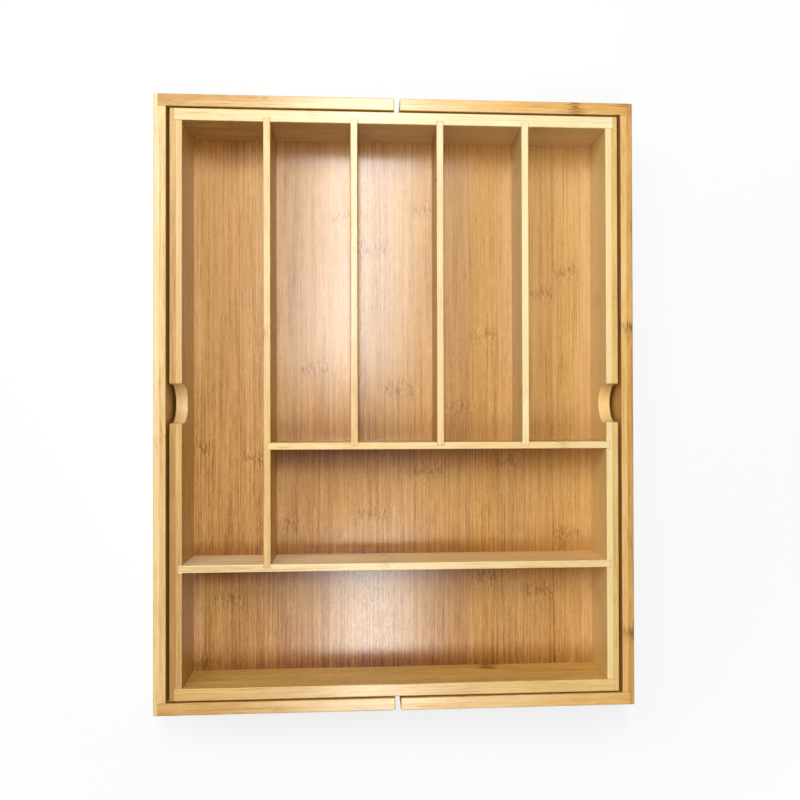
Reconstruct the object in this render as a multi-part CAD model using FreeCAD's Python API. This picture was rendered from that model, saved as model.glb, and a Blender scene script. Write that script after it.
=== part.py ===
import FreeCAD, Part
import os

# Expandable bamboo cutlery tray.
# A fixed inner tray, split into compartments by housed dividers, stands on the floors of two wings.
# Each wing is a three-sided frame that wraps one half of the tray and slides out sideways.
# A key on each wing end board runs in a stopped groove of the tray end board and limits the travel.
#
# Frame: X across the tray, the way the wings slide. Y from front to back. Z up.
# The origin is on the table under the middle of the tray. All sizes are in millimetres.

# Inner tray
tray_width = 327.2        # outside, across
tray_length = 425.6       # outside, front to back
tray_wall = 9.0
tray_panel = 4.5          # floor board
tray_lip = 3.2            # wall left under the floor groove
inner_depth = 42.0        # rim down to the floor

# Compartments
column_count = 5          # equal columns across the back, the first one runs past the upper row
row_depth = 82.5          # clear depth of each of the two cross rows at the front
divider = 5.3             # thickness of every divider

# Finger notch in the middle of each tray side
notch_width = 28.0
notch_straight = 7.0      # depth before the half round begins

# Wings
wing_wall = 9.0
wing_panel = 4.0          # floor board
wing_lip = 3.0            # wall left under the floor groove
wing_panel_setback = 0.8  # floor edge behind the free ends of the end boards
rest_opening = 1.8        # how far each wing stands out from fully closed

# Joints between boards
corner_tongue = 3.2       # side board left over the end grain of an end board
panel_groove = 4.0        # depth of the groove that holds a floor
glue_gap = 0.1            # glue line around every fixed joint

# Slide: stopped groove in the tray end boards, key in the wing end boards
guide_rise = 8.0          # groove above the tray floor
stop_margin = 21.0        # groove end in from the tray side
key_height = 5.0
key_length = 36.0
key_setback = 6.0         # key in from the free end of the wing end board

# Running clearances
slide_gap = 1.2           # tray end board to wing end board
bearing_gap = 0.3         # tray above the wing floors
closed_side_gap = 0.6     # tray side to wing side, wings closed
closed_seam = 0.4         # between the two wings, closed
key_gap = 0.3             # key to groove, above and below
key_end_gap = 0.5         # key to the bottom of the groove

# Eased edges
rim_ease = 0.8
divider_ease = 0.6

# Heights, from the table up
wing_floor_low = wing_lip
wing_floor_top = wing_floor_low + wing_panel
tray_low = wing_floor_top + bearing_gap
tray_floor_low = tray_low + tray_lip
tray_floor_top = tray_floor_low + tray_panel
rim = tray_floor_top + inner_depth
guide_low = tray_floor_top + guide_rise
guide_top = guide_low + key_height + 2 * key_gap

# Housings run up through the rim, so their cutters reach past it
above_rim = rim + 1
housing_height = (tray_floor_top, above_rim)
divider_height = (tray_floor_top, rim)

# The notch meets the rim in a rounding that is wide enough to take the eased edge round it
notch_flare = 2 * rim_ease

# Depths of the joints follow the boards that they are cut into
wall_housing = tray_wall / 3
divider_housing = divider / 2
guide_depth = 0.4 * tray_wall
key_mortise = wing_wall / 3

# Tray outline, half sizes
tray_x = tray_width / 2
tray_y = tray_length / 2
inner_x = tray_x - tray_wall
inner_y = tray_y - tray_wall

# Dividers: centre lines
column_width = (2 * inner_x - (column_count - 1) * divider) / column_count
divider_lines = [-inner_x + (i + 1) * column_width + (i + 0.5) * divider for i in range(column_count - 1)]
long_line = divider_lines[0]
lower_line = -inner_y + row_depth + divider / 2
upper_line = lower_line + row_depth + divider
wall_seat = inner_x + wall_housing - glue_gap

# Wing outline at rest, for the right-hand wing
wing_free_end = closed_seam / 2 + rest_opening
wing_inner_x = tray_x + closed_side_gap + rest_opening
wing_outer_x = wing_inner_x + wing_wall
wing_inner_y = tray_y + slide_gap
wing_outer_y = wing_inner_y + wing_wall
key_start = wing_free_end + key_setback
key_end = key_start + key_length
guide_end = tray_x - stop_margin
wing_pull = guide_end - key_end


def block(x, y, z):
    """Box from three (from, to) pairs, in either order."""
    spans = [sorted(pair) for pair in (x, y, z)]
    sizes = [high - low for low, high in spans]
    return Part.makeBox(*sizes, FreeCAD.Vector(*[low for low, high in spans]))


def flat(edge, x=None, y=None, z=None):
    """True where an edge stays at every coordinate that is given."""
    box = edge.BoundBox
    wanted = ((x, box.XMin, box.XMax), (y, box.YMin, box.YMax), (z, box.ZMin, box.ZMax))
    return all(at is None or max(abs(low - at), abs(high - at)) < 1e-4 for at, low, high in wanted)


def eased(solid, radius, chosen):
    """Solid with the chosen edges rounded."""
    return solid.makeFillet(radius, [edge for edge in solid.Edges if chosen(edge)])


def squared(solid, x, y, radius):
    """Solid with its rim made square again over a plan area, where the board enters a joint."""
    return solid.fuse(block(x, y, (rim - radius, rim))).removeSplitter()


def board_span(line):
    """Span of a divider's thickness about its centre line."""
    return (line - divider / 2, line + divider / 2)


def slot_span(line):
    """Span of the slot for a divider: its thickness and a glue line on both faces."""
    return (line - divider / 2 - glue_gap, line + divider / 2 + glue_gap)


def notch_cutter(side):
    """U-shaped finger notch across a tray side: flared mouth, straight walls, half-round bottom."""
    radius = notch_width / 2
    flare = notch_flare
    mouth = radius + flare
    bend = rim - notch_straight
    lean = flare * (1 - 0.5 ** 0.5)
    start_x = inner_x - 1

    def at(y, z):
        return FreeCAD.Vector(start_x, y, z)

    outline = [
        Part.LineSegment(at(-mouth, above_rim), at(-mouth, rim)),
        Part.Arc(at(-mouth, rim), at(-radius - lean, rim - lean), at(-radius, rim - flare)),
        Part.LineSegment(at(-radius, rim - flare), at(-radius, bend)),
        Part.Arc(at(-radius, bend), at(0, bend - radius), at(radius, bend)),
        Part.LineSegment(at(radius, bend), at(radius, rim - flare)),
        Part.Arc(at(radius, rim - flare), at(radius + lean, rim - lean), at(mouth, rim)),
        Part.LineSegment(at(mouth, rim), at(mouth, above_rim)),
        Part.LineSegment(at(mouth, above_rim), at(-mouth, above_rim)),
    ]
    face = Part.Face(Part.Wire([curve.toShape() for curve in outline]))
    cutter = face.extrude(FreeCAD.Vector(tray_wall + 2, 0, 0))
    if side < 0:
        cutter = cutter.mirror(FreeCAD.Vector(0, 0, 0), FreeCAD.Vector(1, 0, 0))
    return cutter


def side_board(side, inner, outer, half_length, low, cutter=None):
    """Upright side board. Its rim, its outer corners and the edge of any notch are eased."""
    solid = block((side * inner, side * outer), (-half_length, half_length), (low, rim))
    if cutter:
        solid = solid.cut(cutter)

    def in_view(edge):
        hidden = flat(edge, z=low) or any(flat(edge, x=side * inner, y=end * half_length) for end in (-1, 1))
        on_face = flat(edge, x=side * inner) or flat(edge, x=side * outer)
        on_end = any(flat(edge, y=end * half_length, z=rim) for end in (-1, 1))
        return (on_face or on_end) and not hidden

    return eased(solid, rim_ease, in_view)


def rabbeted(solid, side, inner, outer, inner_length, half_length):
    """Side board with its two ends cut back to a tongue that covers an end board's end grain."""
    for end in (-1, 1):
        solid = solid.cut(block((side * (inner - 1), side * (outer - corner_tongue)),
                                (end * (inner_length - glue_gap), end * (half_length + 1)), (-1, above_rim)))
    return solid


def tray_side(side):
    """Side board of the tray: rabbets for the end boards, floor groove, divider slots and notch."""
    solid = side_board(side, inner_x, tray_x, tray_y, tray_low, notch_cutter(side))
    solid = rabbeted(solid, side, inner_x, tray_x, inner_y, tray_y)
    reach = side * (inner_x - 1)
    solid = solid.cut(block((reach, side * (inner_x + panel_groove)), (-tray_y, tray_y),
                            (tray_floor_low - glue_gap, tray_floor_top)))
    lines = [lower_line] if side < 0 else [lower_line, upper_line]
    for line in lines:
        solid = solid.cut(block((reach, side * (inner_x + wall_housing)), slot_span(line),
                                housing_height))
    return solid


def tray_end(end):
    """End board of the tray: floor groove, divider slots at the back and the stopped guide groove."""
    length = tray_x - corner_tongue - glue_gap
    solid = block((-length, length), (end * inner_y, end * tray_y), (tray_low, rim))
    solid = eased(solid, rim_ease, lambda edge: flat(edge, y=end * inner_y, z=rim)
                  or flat(edge, y=end * tray_y, z=rim))
    for side in (-1, 1):
        solid = squared(solid, (side * inner_x, side * length), (end * inner_y, end * (inner_y + rim_ease)),
                        rim_ease)
    reach = end * (inner_y - 1)
    solid = solid.cut(block((-tray_x, tray_x), (reach, end * (inner_y + panel_groove)),
                            (tray_floor_low - glue_gap, tray_floor_top)))
    if end > 0:
        for line in divider_lines:
            solid = solid.cut(block(slot_span(line), (reach, inner_y + wall_housing), housing_height))
    return solid.cut(block((-guide_end, guide_end), (end * (tray_y - guide_depth), end * (tray_y + 1)),
                           (guide_low, guide_top)))


def tray_floor():
    """Floor board of the tray, its edges in the grooves of the four walls."""
    half_x = inner_x + panel_groove - glue_gap
    half_y = inner_y + panel_groove - glue_gap
    return block((-half_x, half_x), (-half_y, half_y), (tray_floor_low, tray_floor_top))


def divider_board(x, y, housed):
    """Divider with its long top edges eased. The plan areas of its housed ends stay square."""
    solid = block(x, y, divider_height)
    if x[1] - x[0] > y[1] - y[0]:
        solid = eased(solid, divider_ease, lambda edge: any(flat(edge, y=face, z=rim) for face in y))
    else:
        solid = eased(solid, divider_ease, lambda edge: any(flat(edge, x=face, z=rim) for face in x))
    for housed_x, housed_y in housed:
        solid = squared(solid, housed_x, housed_y, divider_ease)
    return solid


def lengthwise_divider(line, cross_line):
    """Divider from a slot in the back wall to a slot in the cross divider on that line."""
    face = cross_line + divider / 2
    front = face - divider_housing + glue_gap
    back = inner_y + wall_housing - glue_gap
    x = board_span(line)
    return divider_board(x, (front, back), [(x, (front, face)), (x, (inner_y, back))])


def lower_cross_divider():
    """Full-width divider, slotted for the long divider."""
    y = board_span(lower_line)
    solid = divider_board((-wall_seat, wall_seat), y,
                          [((-wall_seat, -inner_x), y), ((inner_x, wall_seat), y)])
    return solid.cut(block(slot_span(long_line),
                           (lower_line + divider / 2 - divider_housing, lower_line + divider),
                           housing_height))


def upper_cross_divider():
    """Divider from the long divider to the right wall, slotted for the column dividers."""
    face = long_line + divider / 2
    start = face - divider_housing + glue_gap
    y = board_span(upper_line)
    solid = divider_board((start, wall_seat), y, [((start, face), y), ((inner_x, wall_seat), y)])
    for line in divider_lines[1:]:
        solid = solid.cut(block(slot_span(line),
                                (upper_line + divider / 2 - divider_housing, upper_line + divider),
                                housing_height))
    return solid


def long_divider():
    """Divider of the tall left column, slotted for the upper cross divider."""
    solid = lengthwise_divider(long_line, lower_line)
    return solid.cut(block((long_line + divider / 2 - divider_housing, long_line + divider),
                           slot_span(upper_line), housing_height))


def wing_side(side):
    """Side board of a wing: rabbets for its end boards and a groove for its floor."""
    solid = side_board(side, wing_inner_x, wing_outer_x, wing_outer_y, 0)
    solid = rabbeted(solid, side, wing_inner_x, wing_outer_x, wing_inner_y, wing_outer_y)
    return solid.cut(block((side * (wing_inner_x - 1), side * (wing_inner_x + panel_groove)),
                           (-wing_outer_y, wing_outer_y),
                           (wing_floor_low - glue_gap, wing_floor_top + glue_gap)))


def wing_end(side, end):
    """End board of a wing: groove for its floor and a mortise for its key."""
    free = side * wing_free_end
    joined = side * (wing_outer_x - corner_tongue - glue_gap)
    faces = (end * wing_inner_y, end * wing_outer_y)
    solid = block((free, joined), faces, (0, rim))
    solid = eased(solid, rim_ease, lambda edge: flat(edge, x=free, z=rim)
                  or any(flat(edge, y=face, z=rim) or flat(edge, x=free, y=face) for face in faces))
    solid = squared(solid, (side * wing_inner_x, joined),
                    (end * wing_inner_y, end * (wing_inner_y + rim_ease)), rim_ease)
    reach = end * (wing_inner_y - 1)
    solid = solid.cut(block((0, side * wing_outer_x), (reach, end * (wing_inner_y + panel_groove)),
                            (wing_floor_low - glue_gap, wing_floor_top + glue_gap)))
    return solid.cut(block((side * (key_start - glue_gap), side * (key_end + glue_gap)),
                           (reach, end * (wing_inner_y + key_mortise)),
                           (guide_low + key_gap - glue_gap, guide_top - key_gap + glue_gap)))


def wing_floor(side):
    """Floor board of a wing, held on three sides and open to the other wing."""
    half_y = wing_inner_y + panel_groove - glue_gap
    return block((side * (wing_free_end + wing_panel_setback),
                  side * (wing_inner_x + panel_groove - glue_gap)),
                 (-half_y, half_y), (wing_floor_low, wing_floor_top))


def wing_key(side, end):
    """Key that is glued into a wing end board and runs in the tray's guide groove."""
    tip = tray_y - guide_depth + key_end_gap
    seat = wing_inner_y + key_mortise - glue_gap
    return block((side * key_start, side * key_end), (end * tip, end * seat),
                 (guide_low + key_gap, guide_top - key_gap))


def build():
    """Every piece of the tray by its name."""
    pieces = {
        "tray_side_left": tray_side(-1),
        "tray_side_right": tray_side(1),
        "tray_end_back": tray_end(1),
        "tray_end_front": tray_end(-1),
        "tray_floor": tray_floor(),
        "long_divider": long_divider(),
        "lower_cross_divider": lower_cross_divider(),
        "upper_cross_divider": upper_cross_divider(),
    }
    for number, line in enumerate(divider_lines[1:], start=1):
        pieces[f"column_divider_{number}"] = lengthwise_divider(line, upper_line)
    for wing, side in (("left", -1), ("right", 1)):
        pieces[f"{wing}_wing_side"] = wing_side(side)
        pieces[f"{wing}_wing_floor"] = wing_floor(side)
        for place, end in (("back", 1), ("front", -1)):
            pieces[f"{wing}_wing_end_{place}"] = wing_end(side, end)
            pieces[f"{wing}_wing_key_{place}"] = wing_key(side, end)
    return pieces


os.makedirs("parts", exist_ok=True)
for name, shape in build().items():
    shape.exportStep(f"parts/{name}.step")

print(f"size at rest {2 * wing_outer_x:.1f} x {2 * wing_outer_y:.1f} x {rim:.1f}")
print(f"each wing closes by {rest_opening:.1f} and pulls out by {wing_pull:.1f}")
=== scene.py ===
# %% [markdown]
# # An expandable bamboo cutlery tray
#
# The construction drawing is already done: every board, slot and sliding key comes in as a fixed frame.
# This lesson gives those boards their looks. It covers the camera, the light, and one wood: laminated bamboo
# with a satin lacquer, cut and glued in several ways.

import bpy
import numpy as np
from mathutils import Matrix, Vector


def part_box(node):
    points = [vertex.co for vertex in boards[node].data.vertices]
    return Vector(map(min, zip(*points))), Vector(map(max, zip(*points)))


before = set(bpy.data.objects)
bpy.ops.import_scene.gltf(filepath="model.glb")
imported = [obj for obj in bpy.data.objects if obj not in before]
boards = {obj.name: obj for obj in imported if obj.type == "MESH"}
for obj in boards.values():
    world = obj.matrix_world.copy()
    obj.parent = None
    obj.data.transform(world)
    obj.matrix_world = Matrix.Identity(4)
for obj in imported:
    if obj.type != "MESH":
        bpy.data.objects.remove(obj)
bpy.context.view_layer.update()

scene = bpy.context.scene

# %% [markdown]
# ## The camera
#
# The photograph looks almost straight down, at this size of tray from about 0.66 m above the table. A camera can be
# placed by eye, but here a pinhole camera was fitted to the corners of the rim, the floor and the left wing and to
# the edges of the dividers. It misses them by 0.65 of a pixel as a root mean square, and by 1.8 at worst. The fit
# gives the focal length in pixels, the point where the lens axis meets the picture, the place and the three turns.
# Blender wants a lens in millimetres and a shift as a share of the picture's width.

# %% Camera
PICTURE = 800                    # pixels across and down
FOCAL = 826.57                   # pixels
AXIS = (417.55, 405.77)          # where the lens axis meets the picture, in pixels from the top left
SENSOR = 36.0                    # millimetres
CAMERA_AT = (-0.02406, -0.00691, 0.65873)       # metres
CAMERA_TURNS = (0.00865, -0.06404, -0.00226)    # radians about X, Y and Z

lens = bpy.data.cameras.new("overhead_camera")
lens.sensor_width = SENSOR
lens.lens = FOCAL / PICTURE * SENSOR
lens.shift_x = (PICTURE / 2 - AXIS[0]) / PICTURE
lens.shift_y = (AXIS[1] - PICTURE / 2) / PICTURE
lens.clip_start = 0.01
camera = bpy.data.objects.new("overhead_camera", lens)
camera.location = CAMERA_AT
camera.rotation_euler = CAMERA_TURNS
scene.collection.objects.link(camera)
scene.camera = camera
print(f"lens {lens.lens:.2f} mm, shift {lens.shift_x:.4f} {lens.shift_y:.4f}")

# %% [markdown]
# ## Colours and nodes
#
# Colours are written as sRGB hex values, the way a picture editor shows them. A shader works in linear light, so
# one function converts them. One more function adds a node: it takes the node's settings, and for each of its
# inputs a socket to link from or a value to set.

# %% Helpers for materials
def linear(code):
    """Linear RGBA of an sRGB hex colour: c/12.92 below 0.04045, else ((c + 0.055)/1.055)^2.4."""
    srgb = np.array([int(code[i:i + 2], 16) for i in (1, 3, 5)]) / 255
    rgb = np.where(srgb <= 0.04045, srgb / 12.92, ((srgb + 0.055) / 1.055) ** 2.4)
    return (*rgb.tolist(), 1.0)


def add(tree, kind, inputs=(), out=0, **settings):
    """Adds a node and returns one of its outputs. Inputs are given in order, or by name in a dict."""
    node = tree.nodes.new(kind)
    for name, value in settings.items():
        setattr(node, name, value)
    pairs = inputs.items() if isinstance(inputs, dict) else enumerate(inputs)
    for key, value in pairs:
        if isinstance(value, bpy.types.NodeSocket):
            tree.links.new(value, node.inputs[key])
        else:
            node.inputs[key].default_value = value
    return node.outputs[out]


MATH, VECTOR, RANGE, NOISE = "ShaderNodeMath", "ShaderNodeVectorMath", "ShaderNodeMapRange", "ShaderNodeTexNoise"
COMBINE, SEPARATE_COLOUR, RAMP = "ShaderNodeCombineXYZ", "ShaderNodeSeparateColor", "ShaderNodeValToRGB"
print(f"the sRGB grey #808080 is {linear('#808080')[0]:.3f} in linear light")

# %% [markdown]
# ## Laminated bamboo
#
# Bamboo boards are made of strips split from the cane, planed flat and glued side by side. A wide face shows
# strips about 22 mm wide. Each has its own tone, fine fibres along its length, and every 23 cm or so a node, where
# the cane had a joint and the fibres tangle into short dark dashes. A wall is two such layers thick, so its rim
# shows two narrow stripes. A cut end shows the fibres as dots.
#
# It could be painted face by face, but the real board is the same all the way through. So the pattern here is
# solid: a formula in the board's own millimetres, with u along the grain, s across the strips and t through the
# layers. Every face then shows the right cut of it without any mapping.
#
# The first step says where a point lies in its board: in which strip and layer, and how deep under the skin.
# Only the two wide faces lie at the skin. A rim, a notch or an end is cut through the layers, so it lies deeper.

# %% Strips and layers
MM = 1000                        # millimetres in a metre
STRIP = 21.9                     # mm, width of one strip
SKIN, EASE = 0.1, 0.75           # mm under the skin, where the eased edge begins and where the cut is full
END = (0.5, 0.1)                 # mm from a cut end, where end grain begins and where it is full
STAGGER = 0.37                   # strips, how far one layer is shifted against the next
UNDER = 0.001                    # layers, keeps the outer skin in the last whole layer


def box_in_mm(board):
    """Lowest and highest corner of a board at rest, in millimetres."""
    return (MM * np.array(corner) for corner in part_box(board))


def lay_strips(tree, board, grain, through, first, layers, seed):
    """Places a point in its board, in mm: u along the grain, s across the strips, t through the layers.

    plies = layers * (t - inner)/thickness, strips = (s - first)/STRIP + STAGGER * layer, and layer and strip are
    their whole parts. depth = thickness/2 - |t - middle|, cut = 0 at the skin and 1 from EASE on, and
    edge = cut * (1 - cut). Chance gives each strip three numbers of its own: tone, joint and shift."""
    low, high = box_in_mm(board)
    g, h = "XYZ".index(grain), "XYZ".index(through)
    a = 3 - g - h
    inner, outer = (low[h], high[h]) if low[h] + high[h] >= 0 else (high[h], low[h])
    place = add(tree, "ShaderNodeTexCoord", out="Object")
    mm = add(tree, VECTOR, (place, (MM, MM, MM)), operation="MULTIPLY")
    split = add(tree, "ShaderNodeSeparateXYZ", (mm,)).node
    u, s, t = (split.outputs[axis] for axis in (g, a, h))

    off_middle = add(tree, MATH, (t, (inner + outer) / 2), operation="SUBTRACT")
    off_middle = add(tree, MATH, (off_middle,), operation="ABSOLUTE")
    depth = add(tree, MATH, (abs(outer - inner) / 2, off_middle), operation="SUBTRACT")
    cut = add(tree, RANGE, {"Value": depth, "From Min": SKIN, "From Max": EASE}, interpolation_type="SMOOTHSTEP")
    edge = add(tree, MATH, (1.0, cut), operation="SUBTRACT")
    edge = add(tree, MATH, (edge, cut), operation="MULTIPLY")
    along = add(tree, MATH, (u, (low[g] + high[g]) / 2), operation="SUBTRACT")
    off_middle = add(tree, MATH, (along,), operation="ABSOLUTE")
    half = (high[g] - low[g]) / 2
    end = add(tree, RANGE, {"Value": off_middle, "From Min": half - END[0], "From Max": half - END[1]})

    plies = add(tree, RANGE, {"Value": t, "From Min": inner, "From Max": outer, "To Max": layers - UNDER})
    layer = add(tree, MATH, (plies,), operation="FLOOR")
    strips = add(tree, MATH, (s, 1 / STRIP, -first / STRIP), operation="MULTIPLY_ADD")
    strips = add(tree, MATH, (layer, STAGGER, strips), operation="MULTIPLY_ADD")
    strip = add(tree, MATH, (strips,), operation="FLOOR")
    label = add(tree, COMBINE, (strip, layer, seed))
    chance = add(tree, "ShaderNodeTexWhiteNoise", (label,), out="Color", noise_dimensions="3D")
    tone, joint, shift = add(tree, SEPARATE_COLOUR, (chance,)).node.outputs
    return {"grain": g, "across": a, "sides": (low[a], high[a]), "mm": mm, "u": u, "s": s, "t": t, "along": along,
            "cut": cut, "edge": edge, "end": end, "plies": plies, "layer": layer, "strips": strips, "strip": strip,
            "tone": tone, "joint": joint, "shift": shift}


print(f"strips {STRIP} mm wide, edges eased by {EASE} mm")

# %% [markdown]
# A cane has a joint every 23 cm or so. Each strip keeps its share of those joints, at a place of its own. There the
# fibre bundles stop and start again, so a joint shows as a row of short dark dashes, not quite level, on a slightly
# darker patch. Where the photograph shows the joints of a strip, their places are given in millimetres; elsewhere
# chance decides. A material for each strip could hold them, but a constant colour ramp serves as one short table from
# strip to place: red holds the first, green the second.

# %% Joints of the cane
JOINT_EVERY = 226.0              # mm
JOINT_REACH = 11.0               # mm, half the length of the darker patch
JOINT_CORE = 1.0                 # mm, half the length of its darkest part
DASH = (3.0, 1.0)                # mm from the middle of a dash, where it begins and where it is full
DASH_SHIFT = 12.0                # mm, how far a dash may lie from its joint
DASHED = (0.36, 0.56)            # noise above the first shows a dash, and above the second a full one
BUNDLE = 0.6                     # mm, drawn coarser than the real 0.3 so that the dashes show
APART = 5.0                      # noise from one strip to the next, so that they differ
RAMP_SPAN = 1000.0               # mm, places that the ramp's values from 0 to 1 stand for
NONE = 400.0                     # mm, off every board


def cane_joint(tree, at, places, spread):
    """Patch and dashes of a strip's joints, at places in mm along the grain: one for all, or a pair for each strip.

    Patch = 1 at the joint, 0 from JOINT_REACH on. Dash = the same by DASH, at the joint less its bundle's shift."""
    if len(places) == 1:
        middles = [add(tree, MATH, (at["joint"], spread, places[0] - spread / 2), operation="MULTIPLY_ADD")]
    else:
        which = add(tree, MATH, (at["strip"], 1 / len(places), 0.5 / len(places)), operation="MULTIPLY_ADD")
        lookup = add(tree, RAMP, (which,))
        ramp = lookup.node.color_ramp
        ramp.interpolation = "CONSTANT"
        for i, pair in enumerate(places):
            stop = ramp.elements[0] if i == 0 else ramp.elements.new(i / len(places))
            stop.color = (0.5 + pair[0] / RAMP_SPAN, 0.5 + pair[1] / RAMP_SPAN, 0, 1)
        ramp.elements.remove(ramp.elements[-1])
        found = add(tree, SEPARATE_COLOUR, (lookup,)).node.outputs[:2]
        middles = [add(tree, MATH, (value, RAMP_SPAN, -RAMP_SPAN / 2), operation="MULTIPLY_ADD") for value in found]
    bundle = add(tree, COMBINE, (at["s"], at["t"], at["strip"]))
    bundle = add(tree, VECTOR, (bundle, (1 / BUNDLE, 1 / BUNDLE, APART)), operation="MULTIPLY")
    chance = add(tree, NOISE, {"Vector": bundle, "Scale": 1.0, "Detail": 0.0}, out="Color")
    shift, strength, _ = add(tree, SEPARATE_COLOUR, (chance,)).node.outputs
    patch = dashes = 0.0
    for middle in middles:
        away = add(tree, MATH, (at["u"], middle), operation="SUBTRACT")
        if len(places) == 1:
            away = add(tree, MATH, (away, -JOINT_EVERY / 2, JOINT_EVERY / 2), operation="WRAP")
        near = add(tree, MATH, (away,), operation="ABSOLUTE")
        near = add(tree, RANGE, {"Value": near, "From Min": JOINT_REACH, "From Max": JOINT_CORE},
                   interpolation_type="SMOOTHSTEP")
        patch = add(tree, MATH, (patch, near), operation="MAXIMUM")
        apart = add(tree, MATH, (shift, 2 * DASH_SHIFT, -DASH_SHIFT), operation="MULTIPLY_ADD")
        apart = add(tree, MATH, (apart, away), operation="ADD")
        apart = add(tree, MATH, (apart,), operation="ABSOLUTE")
        dash = add(tree, RANGE, {"Value": apart, "From Min": DASH[0], "From Max": DASH[1]},
                   interpolation_type="SMOOTHSTEP")
        dashes = add(tree, MATH, (dashes, dash), operation="MAXIMUM")
    strength = add(tree, RANGE, {"Value": strength, "From Min": DASHED[0], "From Max": DASHED[1]})
    return patch, add(tree, MATH, (dashes, strength), operation="MULTIPLY")


print(f"a joint every {JOINT_EVERY:.0f} mm, with dashes up to {DASH_SHIFT:.0f} mm off it")

# %% [markdown]
# Fibres are drawn with noise stretched along the grain. Real fibre bundles are about 0.3 mm across, finer than one
# pixel of the photograph, where they run together into lines about a millimetre wide. They are drawn at that width,
# so that they show. Near a joint they sway and break up into a tangle of short strokes, light and dark. A scan of real
# wood would be truer still, but it repeats and needs mapping on every face, and noise does neither.

# %% Fibres
FIBRES = {                       # mm along and across the grain, detail, and the noise that becomes 0 and 1
    "clouds": (45, 9.0, 2, 0.3, 0.7),
    "lines": (90, 1.2, 1, 0.3, 0.7),
    "short_lines": (10, 1.0, 1, 0.3, 0.7),
    "dark_lines": (30, 1.1, 1, 0.58, 0.72),
    "tangle": (4, 1.2, 1, 0.3, 0.7),
    "pores": (1.5, 1.1, 1, 0.3, 0.7),
}
FIBRE_ROUGHNESS = 0.55           # share of the noise's finer detail
STRIP_SHIFT = 900.0              # mm, so that no two strips show the same fibres
SWAY_LENGTH, SWAY_WIDTH = 6.0, 3.5    # mm, size of the bends at a joint
SWAY = 3.0                       # mm, how far the fibres bend there


def fibres(tree, at, patch):
    """One noise for each of FIBRES, at (u/length, s/width, t/width), with s bent by SWAY where a patch is."""
    moved = add(tree, MATH, (at["shift"], STRIP_SHIFT, at["u"]), operation="MULTIPLY_ADD")
    straight = add(tree, COMBINE, (moved, at["s"], at["t"]))
    sway = add(tree, VECTOR, (straight, (1 / SWAY_LENGTH, 1 / SWAY_WIDTH, 1 / SWAY_WIDTH)), operation="MULTIPLY")
    sway = add(tree, NOISE, {"Vector": sway, "Scale": 1.0, "Detail": 1.0})
    sway = add(tree, MATH, (sway, 0.5), operation="SUBTRACT")
    sway = add(tree, MATH, (sway, patch), operation="MULTIPLY")
    across = add(tree, MATH, (sway, SWAY, at["s"]), operation="MULTIPLY_ADD")
    bent = add(tree, COMBINE, (moved, across, at["t"]))
    drawn = {}
    for name, (length, width, detail, low, high) in FIBRES.items():
        scaled = add(tree, VECTOR, (bent, (1 / length, 1 / width, 1 / width)), operation="MULTIPLY")
        noise = add(tree, NOISE, {"Vector": scaled, "Scale": 1.0, "Detail": detail, "Roughness": FIBRE_ROUGHNESS})
        drawn[name] = add(tree, RANGE, {"Value": noise, "From Min": low, "From Max": high})
    return drawn


print(len(FIBRES), "kinds of fibre:", ", ".join(FIBRES))

# %% [markdown]
# The floor is darker at the feet of the boards that stand across its grain, in the photograph more so towards the
# left. This is painted shade, standing for the shadow those boards cast on the floor. It could be painted along each
# foot by hand. Here the distance to each of those boards is worked out from its own box, so the painted shade follows
# them wherever they stand.

# %% Painted shade at the feet
# Painted shade: the floor is darker at the foot of each board that stands across its grain.
FLOOR_FOOT_SHADE = {    # in front of each board and behind it: strength at the left, middle and right, and reach in mm
    "tray_end_back": ((0.95, 0.65, 0.28, 32), (0.0, 0.0, 0.0, 32)),
    "upper_cross_divider": ((1.5, 0.95, 0.25, 24), (0.15, 0.1, 0.0, 20)),
    "lower_cross_divider": ((1.4, 1.05, 0.45, 21), (0.45, 1.0, 0.2, 14)),
    "tray_end_front": ((0.0, 0.0, 0.0, 20), (0.35, 1.15, 0.3, 20)),
}


def painted_foot_shade(tree, at, standing):
    """Painted shade at the feet of boards that stand on a floor, laid out as in FLOOR_FOOT_SHADE.

    Distance to a box = length of max(|p - middle| - half size, 0). Shade = strength at the box, 0 from the reach on,
    and it ends where the board ends."""
    left_side, right_side = at["sides"]
    foot_shade = 0.0
    for board, (before, after) in standing.items():
        low, high = box_in_mm(board)
        centre, half = (low + high) / 2, (high - low) / 2
        offset = add(tree, VECTOR, (at["mm"], tuple(centre)), operation="SUBTRACT")
        offset = add(tree, VECTOR, (offset,), operation="ABSOLUTE")
        offset = add(tree, VECTOR, (offset, tuple(half)), operation="SUBTRACT")
        offset = add(tree, VECTOR, (offset, (0, 0, 0)), operation="MAXIMUM")
        distance = add(tree, VECTOR, (offset,), out="Value", operation="LENGTH")
        passed = add(tree, MATH, (at["u"], centre[at["grain"]]), operation="GREATER_THAN")
        left, middle, right, reach = (add(tree, RANGE, {"Value": passed, "To Min": a, "To Max": b})
                                      for a, b in zip(before, after))
        strength = add(tree, RANGE, {"Value": at["s"], "From Min": left_side, "From Max": 0.0,
                                     "To Min": left, "To Max": middle})
        strength = add(tree, RANGE, {"Value": at["s"], "From Min": 0.0, "From Max": right_side,
                                     "To Min": strength, "To Max": right})
        beside = add(tree, MATH, (at["s"], centre[at["across"]], half[at["across"]]), operation="COMPARE")
        strength = add(tree, MATH, (strength, beside), operation="MULTIPLY")
        near = add(tree, RANGE, {"Value": distance, "From Min": reach, "From Max": 0.0, "To Max": strength},
                   interpolation_type="SMOOTHSTEP")
        foot_shade = add(tree, MATH, (foot_shade, near), operation="MAXIMUM")
    return foot_shade


print(len(FLOOR_FOOT_SHADE), "boards with a dark foot:", ", ".join(FLOOR_FOOT_SHADE))

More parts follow.
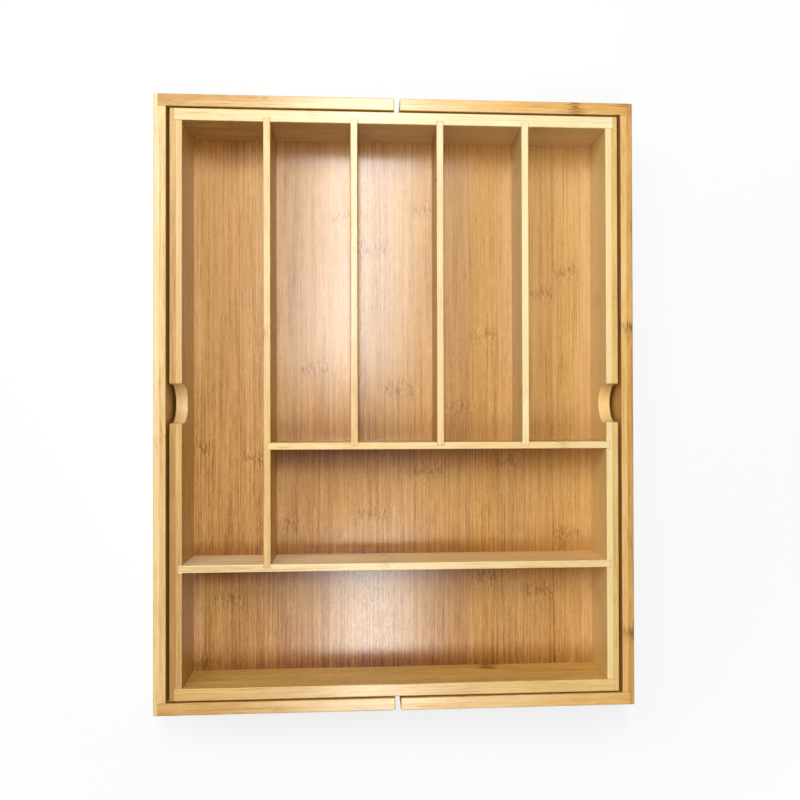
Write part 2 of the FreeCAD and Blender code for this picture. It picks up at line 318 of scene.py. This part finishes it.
# %% [markdown]
# Now the board itself. Every board has the same wood, and only a few things are its own, such as its tone, the number
# of its layers and where its joints lie. A function with a dozen arguments could take them. A list of usual values
# shows them better, and each board then says only where it differs.

# %% What a board may have of its own
PLANK = {
    "tone": 0.5,                 # 0 is a palette's dark colour, 0.5 its middle one and 1 its pale one
    "layers": 1,                 # layers of strips through the board
    "ply_tones": (0.0, 0.0),     # tone added to the inner and to the outer layer
    # Along some boards the slope partly paints light, paler where the lamps fall stronger.
    "slope": (0.0, 0.0),         # tone added in 100 mm along the grain, on the faces and on the rim
    "drift": 0.0,                # tone added from each strip to the next
    # Paler outermost strips are painted light, where the lamps fall off towards the sides.
    "paler_sides": 0.0,          # tone added to the outermost strips
    "notch": None,               # tone added on a finger notch's sanded cut, in place of ply_tones
    "first": 0.0,                # mm across, where a strip begins
    "places": (0.0,),            # mm along, joints of the cane
    "spread": JOINT_EVERY,       # mm, how far chance spreads one place among the strips
    "marks": (0.18, 0.13),       # darkness of a joint on the faces and on the rim
    # Boards listed in standing give this one painted shade at their feet.
    "standing": None,            # boards that stand across this one, for the dark feet
    "gloss": 0.38,               # roughness of the faces
}
print("usual board:", PLANK)

# %% [markdown]
# The tone of a point adds up from its strip, its layer, a slow change along the board and the fibres. On the floor,
# the back wall and the dividers' rims that slow change is partly painted light, paler where the lamps fall stronger. A
# rim shows the narrow side of the strips, with fainter lines and clearer clouds. The eased edges are rubbed paler. The
# finger notches are cut and sanded last, so their two layers have one even tone. A painted map could hold all this,
# but a sum of a few patterns stays sharp at any distance.

# %% Tone
STRIP_TONES = 0.05               # half the range of tones among strips
STREAKS = {                      # tone where a pattern is 0 and 1, and the share of it on a cut rim
    "clouds": (-0.08, 0.08, 1.7),
    "lines": (-0.24, 0.24, 0.35),
    "pores": (-0.1, 0.1, 0.4),
    "short_lines": (-0.13, 0.13, 0.5),
    "dark_lines": (0.0, -0.2, 1.4),
}
CALM_STRIP = 0.8                 # contrast of the calmest strip
TANGLE, TANGLE_ON_RIM = 0.34, 0.3     # tone of the tangled strokes, up and down, and their share on a cut rim
RUBBED = 0.5                     # tone, four times what it adds in the middle of an eased edge
SIDE_STRIPS = (1.8, 0.8)         # strips from the side, where the paler tone begins and where it is full
NOTCH_TOP = (0.6, 2.0)           # mm under the rim, where a notch's even tone begins and where it is full


def notch_cut(tree, board, at):
    """1 on the cut of a finger notch: deeper than the skin and under the rim."""
    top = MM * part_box(board)[1][2]
    even = add(tree, RANGE, {"Value": at["s"], "From Min": top - NOTCH_TOP[0], "From Max": top - NOTCH_TOP[1]})
    return add(tree, MATH, (even, at["cut"]), operation="MULTIPLY")


def wood_tone(tree, at, plank, drawn, patch, even):
    """Tone = strip + layer + drift + slope * way along the grain + streaks + tangle * patch + rubbed edge."""
    least, most = plank["tone"] - STRIP_TONES, plank["tone"] + STRIP_TONES
    tone = add(tree, RANGE, {"Value": at["tone"], "To Min": least, "To Max": most})
    inner, outer = plank["ply_tones"]
    ply = add(tree, RANGE, {"Value": at["layer"], "To Min": inner, "To Max": outer})
    if even is not None:
        ply = add(tree, "ShaderNodeMix", {"Factor": even, 2: ply, 3: plank["notch"]})
    tone = add(tree, MATH, (tone, ply), operation="ADD")
    tone = add(tree, MATH, (at["strip"], plank["drift"], tone), operation="MULTIPLY_ADD")
    # Painted light: the outermost strips are lifted where the lamps fall off towards the sides.
    if plank["paler_sides"]:
        off_middle = add(tree, MATH, (at["s"],), operation="ABSOLUTE")
        begins, full = (at["sides"][1] - strips * STRIP for strips in SIDE_STRIPS)
        lift = add(tree, RANGE, {"Value": off_middle, "From Min": begins, "From Max": full,
                                 "To Max": plank["paler_sides"]}, interpolation_type="SMOOTHSTEP")
        tone = add(tree, MATH, (tone, lift), operation="ADD")
    # Tone along the grain, on some boards partly painted light, paler where the lamps fall stronger.
    on_face, on_rim = plank["slope"]
    rise = add(tree, RANGE, {"Value": at["cut"], "To Min": on_face / 100, "To Max": on_rim / 100})
    tone = add(tree, MATH, (at["along"], rise, tone), operation="MULTIPLY_ADD")

    streaks = 0.0
    for name, (low, high, rim_share) in STREAKS.items():
        amount = add(tree, RANGE, {"Value": drawn[name], "To Min": low, "To Max": high})
        share = add(tree, RANGE, {"Value": at["cut"], "To Min": 1.0, "To Max": rim_share})
        streaks = add(tree, MATH, (amount, share, streaks), operation="MULTIPLY_ADD")
    contrast = add(tree, RANGE, {"Value": at["joint"], "To Min": CALM_STRIP, "To Max": 1.0})
    streaks = add(tree, MATH, (streaks, contrast), operation="MULTIPLY")
    share = add(tree, RANGE, {"Value": at["cut"], "To Min": 1.0, "To Max": TANGLE_ON_RIM})
    share = add(tree, MATH, (patch, share), operation="MULTIPLY")
    tangle = add(tree, RANGE, {"Value": drawn["tangle"], "To Min": -TANGLE, "To Max": TANGLE})
    streaks = add(tree, MATH, (tangle, share, streaks), operation="MULTIPLY_ADD")
    tone = add(tree, MATH, (tone, streaks), operation="ADD")
    return add(tree, MATH, (at["edge"], RUBBED, tone), operation="MULTIPLY_ADD")


darkest = sum(min(low, high) for low, high, _ in STREAKS.values())
palest = sum(max(low, high) for low, high, _ in STREAKS.values())
print(f"on a face, streaks move the tone by {darkest:.2f} to {palest:+.2f}")

# %% [markdown]
# A colour ramp turns the tone into colour: one ramp for the wide faces and one for cut rims, which are sanded last
# and stay paler. Joints and the painted shade at the feet could simply be mixed towards black, but then they look
# grey. A gamma above 1 deepens the colour and keeps it warm, and a little less light does the rest.

# %% Colour
RICHER = (0.98, 1.02)            # saturation of the palest and of the richest strip
WARMER = (0.499, 0.501)          # hue among the strips, where 0.5 leaves it as it is
PATCH_SHARE = (0.28, 0.15)       # how much of a joint's mark its patch is, on the faces and on the rim
# Dirt in these two lines is the painted shade at the feet of the boards on a floor.
DEEPER = 0.5                     # gamma that a full mark or full dirt adds
UNDER_FOOT_SHADE, UNDER_MARK = 0.72, 0.3    # light that full dirt and a full mark let through


def wood_colour(tree, at, face, rim, tone):
    """Colour of a tone: a ramp through dark, middle and pale at 0, 0.5 and 1, from face to rim by the cut."""
    colours = []
    for dark, middle, pale in (face, rim):
        ramp = add(tree, RAMP, (tone,))
        stops = ramp.node.color_ramp.elements
        stops[0].position, stops[1].position = 0.0, 1.0
        stops[0].color, stops[1].color = linear(dark), linear(pale)
        stops.new(0.5).color = linear(middle)
        colours.append(ramp)
    colour = add(tree, "ShaderNodeMix", {"Factor": at["cut"], 6: colours[0], 7: colours[1]}, out=2, data_type="RGBA")
    richer = add(tree, RANGE, {"Value": at["shift"], "To Min": RICHER[0], "To Max": RICHER[1]})
    warmer = add(tree, RANGE, {"Value": at["joint"], "To Min": WARMER[0], "To Max": WARMER[1]})
    return add(tree, "ShaderNodeHueSaturation", {"Hue": warmer, "Saturation": richer, "Color": colour})


def stained(tree, at, plank, colour, patch, dashes):
    """Colour^(1 + DEEPER * mark + DEEPER * foot shade), with mark = (dashes + patch share) * the board's marks.

    The foot shade is painted shade at the feet of standing boards.
    Also gives the light that it and the mark let through."""
    contrast = add(tree, RANGE, {"Value": at["cut"], "To Min": plank["marks"][0], "To Max": plank["marks"][1]})
    share = add(tree, RANGE, {"Value": at["cut"], "To Min": PATCH_SHARE[0], "To Max": PATCH_SHARE[1]})
    mark = add(tree, MATH, (patch, share, dashes), operation="MULTIPLY_ADD")
    mark = add(tree, MATH, (mark, contrast), operation="MULTIPLY")
    stain = add(tree, MATH, (mark, DEEPER, 1.0), operation="MULTIPLY_ADD")
    # Painted shade at the feet of the boards that stand on this one.
    foot_shade = painted_foot_shade(tree, at, plank["standing"]) if plank["standing"] else 0.0
    stain = add(tree, MATH, (foot_shade, DEEPER, stain), operation="MULTIPLY_ADD")
    colour = add(tree, "ShaderNodeGamma", (colour, stain))
    light = [add(tree, RANGE, {"Value": layer, "To Min": 1.0, "To Max": least})
             for layer, least in ((foot_shade, UNDER_FOOT_SHADE), (mark, UNDER_MARK))]
    return colour, light


# The dirt in this print is the painted shade at the feet of the boards.
print(f"full dirt lets {UNDER_FOOT_SHADE:.0%} of the light through, a full mark {UNDER_MARK:.0%}")

# %% [markdown]
# Thin glue lines part the strips and the layers, and cut ends soak up lacquer and darken. The lines could be grooves
# in the mesh, but they are flush in the real board, so here they only take some of the light. Real ones are about
# 0.1 mm wide. They are drawn up to 1 mm wide and faint, so that they show. A notch has no line on its sanded cut.

# %% Glue lines and ends
GLUE = (0.2, 0.5)                # mm from the middle of a line, where it is full and where it ends
GLUE_LIGHT = 0.91                # light that a full line between strips lets through
SEAM = (0.02, 0.08)              # layers from the middle of a seam, where it is full and where it ends
SEAM_DARK = 0.12                 # light that a full seam between layers takes
END_LIGHT = 0.8                  # light that end grain lets through


def glued(tree, at, even):
    """Light = 1, or GLUE_LIGHT at whole strips, less SEAM_DARK at whole plies of a cut, times END_LIGHT at ends."""
    gap = add(tree, MATH, (at["strips"], 0.5), operation="PINGPONG")
    light = add(tree, RANGE, {"Value": gap, "From Min": GLUE[0] / STRIP, "From Max": GLUE[1] / STRIP,
                              "To Min": GLUE_LIGHT})
    gap = add(tree, MATH, (at["plies"], 0.5), operation="PINGPONG")
    seam = add(tree, RANGE, {"Value": gap, "From Min": SEAM[0], "From Max": SEAM[1],
                             "To Min": SEAM_DARK, "To Max": 0.0})
    seam = add(tree, MATH, (seam, at["cut"]), operation="MULTIPLY")
    light = add(tree, MATH, (light, seam), operation="SUBTRACT")
    if even is not None:
        light = add(tree, MATH, (light, even), operation="MAXIMUM")
    ends = add(tree, RANGE, {"Value": at["end"], "To Min": 1.0, "To Max": END_LIGHT})
    return add(tree, MATH, (light, ends), operation="MULTIPLY")


print(f"glue lines {2 * GLUE[1]:.1f} mm wide take {1 - GLUE_LIGHT:.0%} of the light")

# %% [markdown]
# The lacquer is satin: clear, with an index of refraction of 1.5 and a roughness of 0.22 on floors, 0.28 on rims and
# 0.38 on walls, so a lamp shows as a soft bright band. It sinks into the pores, which are therefore a little duller
# and a trace lower, and it is worn duller on eased edges and cut ends. A coat could be a second layer of the shader,
# but a thin lacquer lies so close on the wood that one layer looks the same.

# %% Satin lacquer
LACQUER_IOR = 1.5
PORE_DULL = 0.03                 # roughness, up and down, from the pores
RIM_DULL, EDGE_DULL, END_DULL = -0.10, 0.4, 0.15    # roughness added on rims, eased edges and cut ends
DASH_LOW = -0.2                  # share of a pore's depth that a dash sinks
PORE_DEPTH, PORE_STRENGTH = 0.00006, 0.2    # metres, and how much of it the light sees


def satin_lacquer(tree, at, plank, colour, pores, dashes):
    """Shader of the lacquered wood: roughness = gloss + pores + rim + edge + end, bump from pores and dashes."""
    in_pore, between_pores = plank["gloss"] + PORE_DULL, plank["gloss"] - PORE_DULL
    dull = add(tree, RANGE, {"Value": pores, "To Min": in_pore, "To Max": between_pores})
    for where, more in (("cut", RIM_DULL), ("edge", EDGE_DULL), ("end", END_DULL)):
        dull = add(tree, MATH, (at[where], more, dull), operation="MULTIPLY_ADD")
    relief = add(tree, MATH, (dashes, DASH_LOW, pores), operation="MULTIPLY_ADD")
    relief = add(tree, "ShaderNodeBump", {"Strength": PORE_STRENGTH, "Distance": PORE_DEPTH, "Height": relief},
                 out="Normal")
    return add(tree, "ShaderNodeBsdfPrincipled",
               {"Base Color": colour, "Roughness": dull, "Normal": relief, "IOR": LACQUER_IOR})


mirrored = ((LACQUER_IOR - 1) / (LACQUER_IOR + 1)) ** 2
print(f"seen straight on, the lacquer mirrors {mirrored:.0%} of the light")

# %% [markdown]
# One function puts these steps together for one board. All boards could share a single material, but each was cut from
# a plank of its own, so each gets its own.

# %% Board
def bamboo_board(board, grain, through, face, rim, seed, **own):
    """Satin lacquered laminated bamboo for one board. Face and rim are palettes of (dark fibre, middle, pale).

    Base colour = stained colour of the tone, times the light that glue, ends, marks and painted foot shade let
    through."""
    plank = {**PLANK, **own}
    material = bpy.data.materials.new("laminated_bamboo_satin_lacquer." + board)
    material.use_nodes = True
    tree = material.node_tree
    tree.nodes.clear()
    at = lay_strips(tree, board, grain, through, plank["first"], plank["layers"], seed)
    patch, dashes = cane_joint(tree, at, plank["places"], plank["spread"])
    drawn = fibres(tree, at, patch)
    even = None if plank["notch"] is None else notch_cut(tree, board, at)
    tone = wood_tone(tree, at, plank, drawn, patch, even)
    colour = wood_colour(tree, at, face, rim, tone)
    colour, stains = stained(tree, at, plank, colour, patch, dashes)
    light = glued(tree, at, even)
    for stain in stains:
        light = add(tree, MATH, (light, stain), operation="MULTIPLY")
    colour = add(tree, VECTOR, (colour, light), operation="MULTIPLY")
    shader = satin_lacquer(tree, at, plank, colour, drawn["pores"], dashes)
    tree.links.new(shader, tree.nodes.new("ShaderNodeOutputMaterial").inputs["Surface"])
    boards[board].data.materials.clear()
    boards[board].data.materials.append(material)
    return material


print("ready for", len(boards), "boards")

# %% [markdown]
# The planks differ, and the photograph shows it: a pale tray and left wing, a honey coloured right wing, a browner
# floor. One palette with a tint for each board would be shorter, but dark fibres and pale ones don't shift alike, so
# each kind of plank has three colours of its own.

# %% Palettes
PALE_CREAM = ("#CC9448", "#F5D092", "#FDEBB8")
CREAM = ("#CC9444", "#F4C984", "#FCE4AE")
DIVIDER = ("#CC9458", "#F4C984", "#FCE8BE")
GOLD = ("#CC964E", "#F1C47A", "#FBDC9A")
TAN = ("#B88648", "#E3B470", "#F3CE92")
WALL = ("#AA7A38", "#D3AA5A", "#E1C07F")
BACK_WALL = ("#A27442", "#D2A861", "#E0BE86")
LIGHT_WALL = ("#BA8A41", "#E4BA65", "#EECD88")
PALE_WALL = ("#E2B878", "#F8D596", "#FFFCD8")
HONEY = ("#BC8240", "#EFB869", "#FCE1AB")
HONEY_WALL = ("#9A672C", "#C8964D", "#D8AE6C")
FLOOR = ("#9E662D", "#CA9553", "#DCB06F")
darker = linear(FLOOR[1])[0] / linear(PALE_CREAM[1])[0]
print(f"the floor's middle colour has {darker:.0%} of the pale rims' red light")

# %% [markdown]
# The tray's walls are two layers thick and its dividers one. The rims of the dividers that run from front to back get
# paler towards the back, partly as painted light from the lamps at the back, and those of the cross dividers towards
# the right. Where the photograph shows a cane joint on a rim or a wall, its place is given. The other joints could
# also be placed by hand, but chance does as well.

# %% The tray's boards
NO_JOINT = (NONE, NONE)
ONE_PLACE = {"spread": 4.0, "marks": (0.18, 0.27)}    # a divider's joint, at nearly the same place in all its strips
dressed = [
    bamboo_board("tray_side_left", "Y", "X", WALL, TAN, seed=1, layers=2, ply_tones=(0.03, -0.28),
                 slope=(0.12, 0.15), first=7.2, places=(NO_JOINT, (-83, NONE), NO_JOINT), notch=0.45),
    bamboo_board("tray_side_right", "Y", "X", LIGHT_WALL, GOLD, seed=2, layers=2, ply_tones=(0.38, -0.13),
                 slope=(0.06, 0.0), notch=0.2),
    bamboo_board("tray_end_back", "X", "Y", BACK_WALL, PALE_CREAM, seed=3, layers=2, ply_tones=(0.2, 0.2),
                 slope=(0.25, 0.1)),
    bamboo_board("tray_end_front", "X", "Y", LIGHT_WALL, GOLD, seed=4, layers=2, ply_tones=(-0.12, -0.22),
                 slope=(0.03, 0.08), first=5.1, places=((70.6, NONE), NO_JOINT, NO_JOINT), marks=(1.2, 0.13)),
    bamboo_board("long_divider", "Y", "X", WALL, DIVIDER, seed=14, tone=0.45, slope=(0.0, 0.09), places=(50.2,),
                 **ONE_PLACE),
    bamboo_board("lower_cross_divider", "X", "Y", PALE_WALL, PALE_CREAM, seed=15, slope=(-0.15, 0.05),
                 places=(-8.7,), **ONE_PLACE),
    bamboo_board("upper_cross_divider", "X", "Y", WALL, DIVIDER, seed=16, tone=0.55, slope=(0.0, 0.06),
                 places=(121.2,), **ONE_PLACE),
    bamboo_board("column_divider_1", "Y", "X", WALL, DIVIDER, seed=17, tone=0.42, slope=(0.0, 0.11)),
    # Its faces take the darker honey wall palette, painted shade along the side of its bright rim.
    bamboo_board("column_divider_2", "Y", "X", HONEY_WALL, DIVIDER, seed=18, tone=0.56, slope=(0.0, 0.13)),
    bamboo_board("column_divider_3", "Y", "X", WALL, CREAM, seed=19, tone=0.95, slope=(0.0, 0.1)),
]
print(len(dressed), "walls and dividers,", len(dressed[0].node_tree.nodes), "nodes in the first")

# %% [markdown]
# The floors are one layer with the grain from front to back, browner and glossier than the walls. Chance could place
# their joints too, but the tray's floor is the widest face in view, so its joints are listed as the photograph shows
# them, strip by strip from the left. Its tone rises a little from strip to strip, and its outermost strips are paler:
# painted light, where the lamps fall off towards the sides.

# %% Floors
FLOOR_JOINTS = ((-34, -197), (-150, NONE), (-41, NONE), (-93, NONE), (27, NONE), (145, NONE), (121, -85),
                (12, NONE), (152, -52), (-3, NONE), (54, -136), (-45, NONE), (87, -147), (104, -102), NO_JOINT)
FLOOR_FINISH = {"marks": (0.17, 0.17), "gloss": 0.22}
floors = [
    # The tray floor takes painted shade at the feet of the boards in FLOOR_FOOT_SHADE.
    bamboo_board("tray_floor", "Y", "Z", FLOOR, FLOOR, seed=11, tone=0.365, slope=(0.085, 0.085), first=-161.0,
                 places=FLOOR_JOINTS, drift=0.017, paler_sides=0.13, standing=FLOOR_FOOT_SHADE, **FLOOR_FINISH),
    bamboo_board("left_wing_floor", "Y", "Z", FLOOR, FLOOR, seed=12, **FLOOR_FINISH),
    bamboo_board("right_wing_floor", "Y", "Z", FLOOR, FLOOR, seed=13, **FLOOR_FINISH),
]
print(len(floors), "floors,", len(floors[0].node_tree.nodes), "nodes in the first")

# %% [markdown]
# The wings wrap the tray from both sides. They could be dressed like the tray, but the right one is honey coloured,
# with strong dark joints on its rim. Four small keys join wings and tray. They are hidden in their grooves and stay
# bare, because lacquer would make them stick.

# %% The wings' boards and keys
KEY_GLOSS = 0.6                  # roughness of the bare keys, which have no lacquer
wings = [
    bamboo_board("left_wing_side", "Y", "X", WALL, PALE_CREAM, seed=5, layers=2, ply_tones=(-0.11, 0.11),
                 slope=(0.06, 0.06)),
    bamboo_board("left_wing_end_back", "X", "Y", WALL, PALE_CREAM, seed=6, layers=2, ply_tones=(-0.1, -0.2),
                 slope=(0.25, 0.36)),
    bamboo_board("left_wing_end_front", "X", "Y", WALL, CREAM, seed=7, layers=2, ply_tones=(-0.2, -0.25),
                 slope=(0.2, 0.2)),
    bamboo_board("right_wing_side", "Y", "X", HONEY_WALL, HONEY, seed=8, layers=2, ply_tones=(0.03, -0.2),
                 places=(54.2,), spread=4.0, marks=(0.25, 0.8)),
    bamboo_board("right_wing_end_back", "X", "Y", HONEY_WALL, HONEY, seed=9, layers=2, ply_tones=(0.08, 0.0),
                 slope=(-0.2, -0.3), places=(131.0,), spread=6.0, marks=(0.25, 1.3)),
    bamboo_board("right_wing_end_front", "X", "Y", HONEY_WALL, HONEY, seed=10, tone=0.6, layers=2,
                 slope=(0.0, -0.15)),
]
keys = [bamboo_board(board, "X", "Y", WALL, WALL, seed=20 + number, gloss=KEY_GLOSS)
        for number, board in enumerate(sorted(name for name in boards if "key" in name))]
print(f"{len(wings)} wing boards and {len(keys)} keys, so {len(dressed + floors + wings + keys)} boards dressed")

# %% [markdown]
# ## Table and light
#
# The table is a pale sheet that keeps the tray's soft shadow. A plain white plane would end in a grey horizon at
# low angles, so far from the tray it fades to plain white, the same as the room.

# %% Table
TABLE_REACH = 6.0                # metres from the middle to a side
TABLE_UNDER = 0.0002             # metres under the tray, so that the two faces don't meet
FADE = (0.22, 0.55)              # metres from the middle, where the fade begins and where all is white
NEAR_WHITE = 0.7                 # share of plain white close to the tray

corners = np.array([[-1, -1, 0], [1, -1, 0], [1, 1, 0], [-1, 1, 0]]) * TABLE_REACH
sheet = bpy.data.meshes.new("table")
sheet.from_pydata((corners - (0, 0, TABLE_UNDER)).tolist(), [], [(0, 1, 2, 3)])
table = bpy.data.objects.new("table", sheet)
scene.collection.objects.link(table)

paper = bpy.data.materials.new("white_paper_sheet")
paper.use_nodes = True
tree = paper.node_tree
tree.nodes.clear()
place = add(tree, "ShaderNodeTexCoord", out="Object")
distance = add(tree, VECTOR, (place,), out="Value", operation="LENGTH")
far = add(tree, RANGE, {"Value": distance, "From Min": FADE[0], "From Max": FADE[1], "To Min": NEAR_WHITE},
          interpolation_type="SMOOTHSTEP")
ray = add(tree, "ShaderNodeLightPath", out="Is Camera Ray")
far = add(tree, MATH, (far, ray), operation="MULTIPLY")
matt = add(tree, "ShaderNodeBsdfDiffuse", {"Color": linear("#FBFBFA")})
white = add(tree, "ShaderNodeEmission", {"Color": (1, 1, 1, 1), "Strength": 1.0})
mix = add(tree, "ShaderNodeMixShader", (far, matt, white))
tree.links.new(mix, tree.nodes.new("ShaderNodeOutputMaterial").inputs["Surface"])
sheet.materials.append(paper)
print(f"table {2 * TABLE_REACH:.0f} m wide, white from {FADE[1]} m on")

# %% [markdown]
# The photograph gives the lamps away by their reflections: two pale bands down the middle of the floor boards, so
# two long strips overhead, one towards the back and one towards the front. A very weak panel between them stands for
# the ceiling. The walls show where the rest comes from: most from the back left, a little from the back and the
# left, and the least, in a warmer tint, from the front. One bright dome would be simpler, but it makes no bands and
# gives every wall the same tone.

# %% Light
COOL, WARM, AMBER = "#F3FAFF", "#FFF8EE", "#FFECD0"
TRAY = (0, 0, 0.05)              # metres, what the side panels face
LAMPS = (                        # name, place, aim, width and length in metres, watts, tint, turn in degrees
    ("back_strip", (-0.034, 0.375, 1.0), (-0.034, 0.375, 0), (0.155, 0.65), 6.6, COOL, -5),
    ("front_strip", (-0.012, -0.475, 1.0), (-0.012, -0.475, 0), (0.13, 0.40), 3.65, COOL, 0),
    ("between_strips", (0.0, -0.03, 1.0), (0.0, -0.03, 0), (0.52, 0.56), 0.25, COOL, 0),
    ("upper_left", (-0.70, 0.75, 1.2), TRAY, (0.6, 0.5), 4.5, COOL, 0),
    ("left_wall", (-1.1, 0.45, 1.0), TRAY, (1.0, 0.8), 2.7, WARM, 0),
    ("back_wall", (0.15, 1.05, 1.1), TRAY, (0.9, 0.7), 2.6, WARM, 0),
    ("front_wall", (-0.2, -1.05, 1.1), TRAY, (0.9, 0.7), 0.95, AMBER, 0),
)


def panel(name, at, aim, size, watts, tint, turn):
    """Soft rectangular lamp at a place, tipped to face a point, then turned by degrees about the vertical."""
    lamp = bpy.data.lights.new(name, "AREA")
    lamp.shape = "RECTANGLE"
    lamp.size, lamp.size_y = size
    lamp.energy = watts
    lamp.color = linear(tint)[:3]
    holder = bpy.data.objects.new(name, lamp)
    holder.location = at
    holder.visible_camera = False
    towards = np.array(aim) - np.array(at)
    flat_length = np.hypot(towards[0], towards[1])
    holder.rotation_euler = (np.arctan2(flat_length, -towards[2]), 0,
                             np.arctan2(-towards[0], towards[1]) + np.radians(turn))
    scene.collection.objects.link(holder)
    return lamp


lamps = [panel(*row) for row in LAMPS]
print(f"{len(lamps)} lamps, {sum(lamp.energy for lamp in lamps):.2f} watts in all")

# %% [markdown]
# The room around is white to the camera. To everything else it is nearly dark, so that the lamps alone give the wood
# its bands and its shade.

# %% Room
ROOM_LIGHT = 0.04                # strength of the room for all but the camera

world = bpy.data.worlds.new("white_room")
scene.world = world
world.use_nodes = True
tree = world.node_tree
tree.nodes.clear()
ray = add(tree, "ShaderNodeLightPath", out="Is Camera Ray")
room = add(tree, "ShaderNodeBackground", {"Color": (1, 1, 1, 1), "Strength": ROOM_LIGHT})
white = add(tree, "ShaderNodeBackground", {"Color": (1, 1, 1, 1), "Strength": 1.0})
mix = add(tree, "ShaderNodeMixShader", (ray, room, white))
tree.links.new(mix, tree.nodes.new("ShaderNodeOutputWorld").inputs["Surface"])
scene.view_settings.view_transform = "Standard"
print("room strength", ROOM_LIGHT, "and view transform", scene.view_settings.view_transform)
